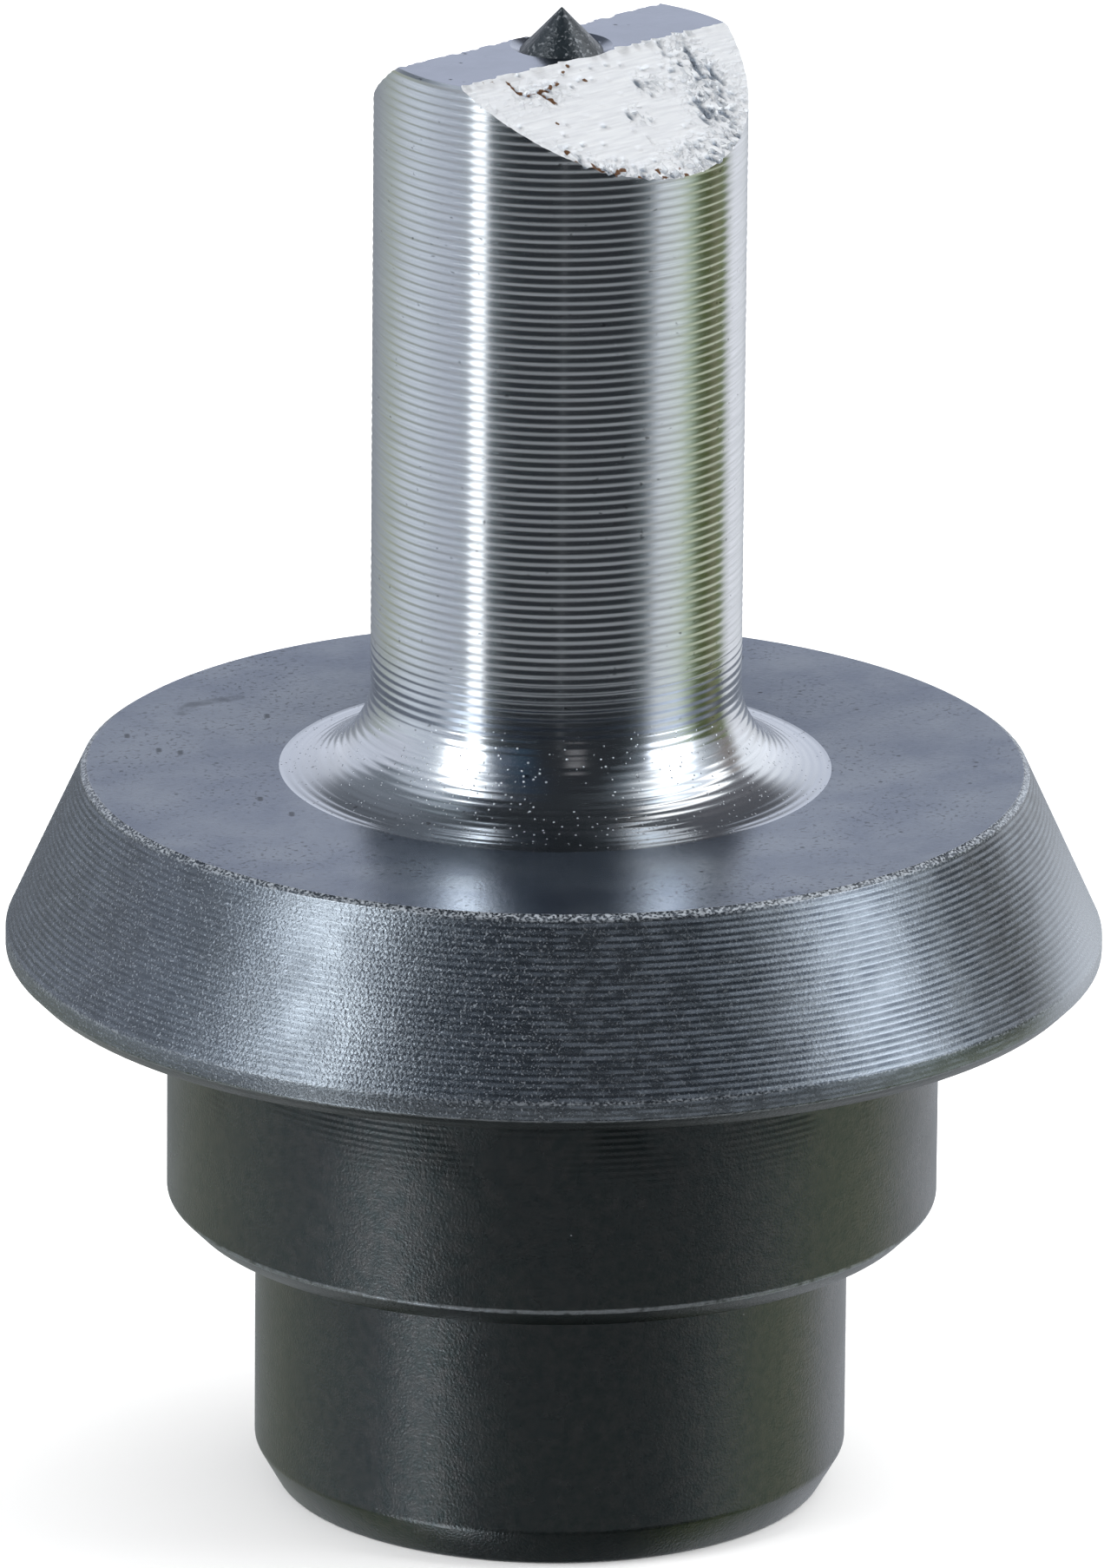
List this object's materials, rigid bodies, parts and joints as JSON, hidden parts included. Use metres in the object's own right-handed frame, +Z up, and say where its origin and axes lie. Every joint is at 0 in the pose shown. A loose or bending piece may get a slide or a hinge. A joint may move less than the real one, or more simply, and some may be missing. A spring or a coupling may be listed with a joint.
{
  "type": "piercing punch",
  "caption": "Shouldered piercing punch of tool steel: round shank with a roof-shaped cutting end and centre pip, conical collar, and stepped locating body.",
  "frame": {"origin": "centre of the flat base face, on the turning axis", "axes": "+Z up the turning axis, towards the cutting end; X along the ridge of the cutting end"},
  "size_m": [0.04, 0.04, 0.0558],
  "materials": {
    "tool_steel": "bright turned shank and fillet, ground cutting faces, dark oxide collar and body"
  },
  "bodies": {
    "root": {"punch": "tool_steel"}
  },
  "joints": []
}
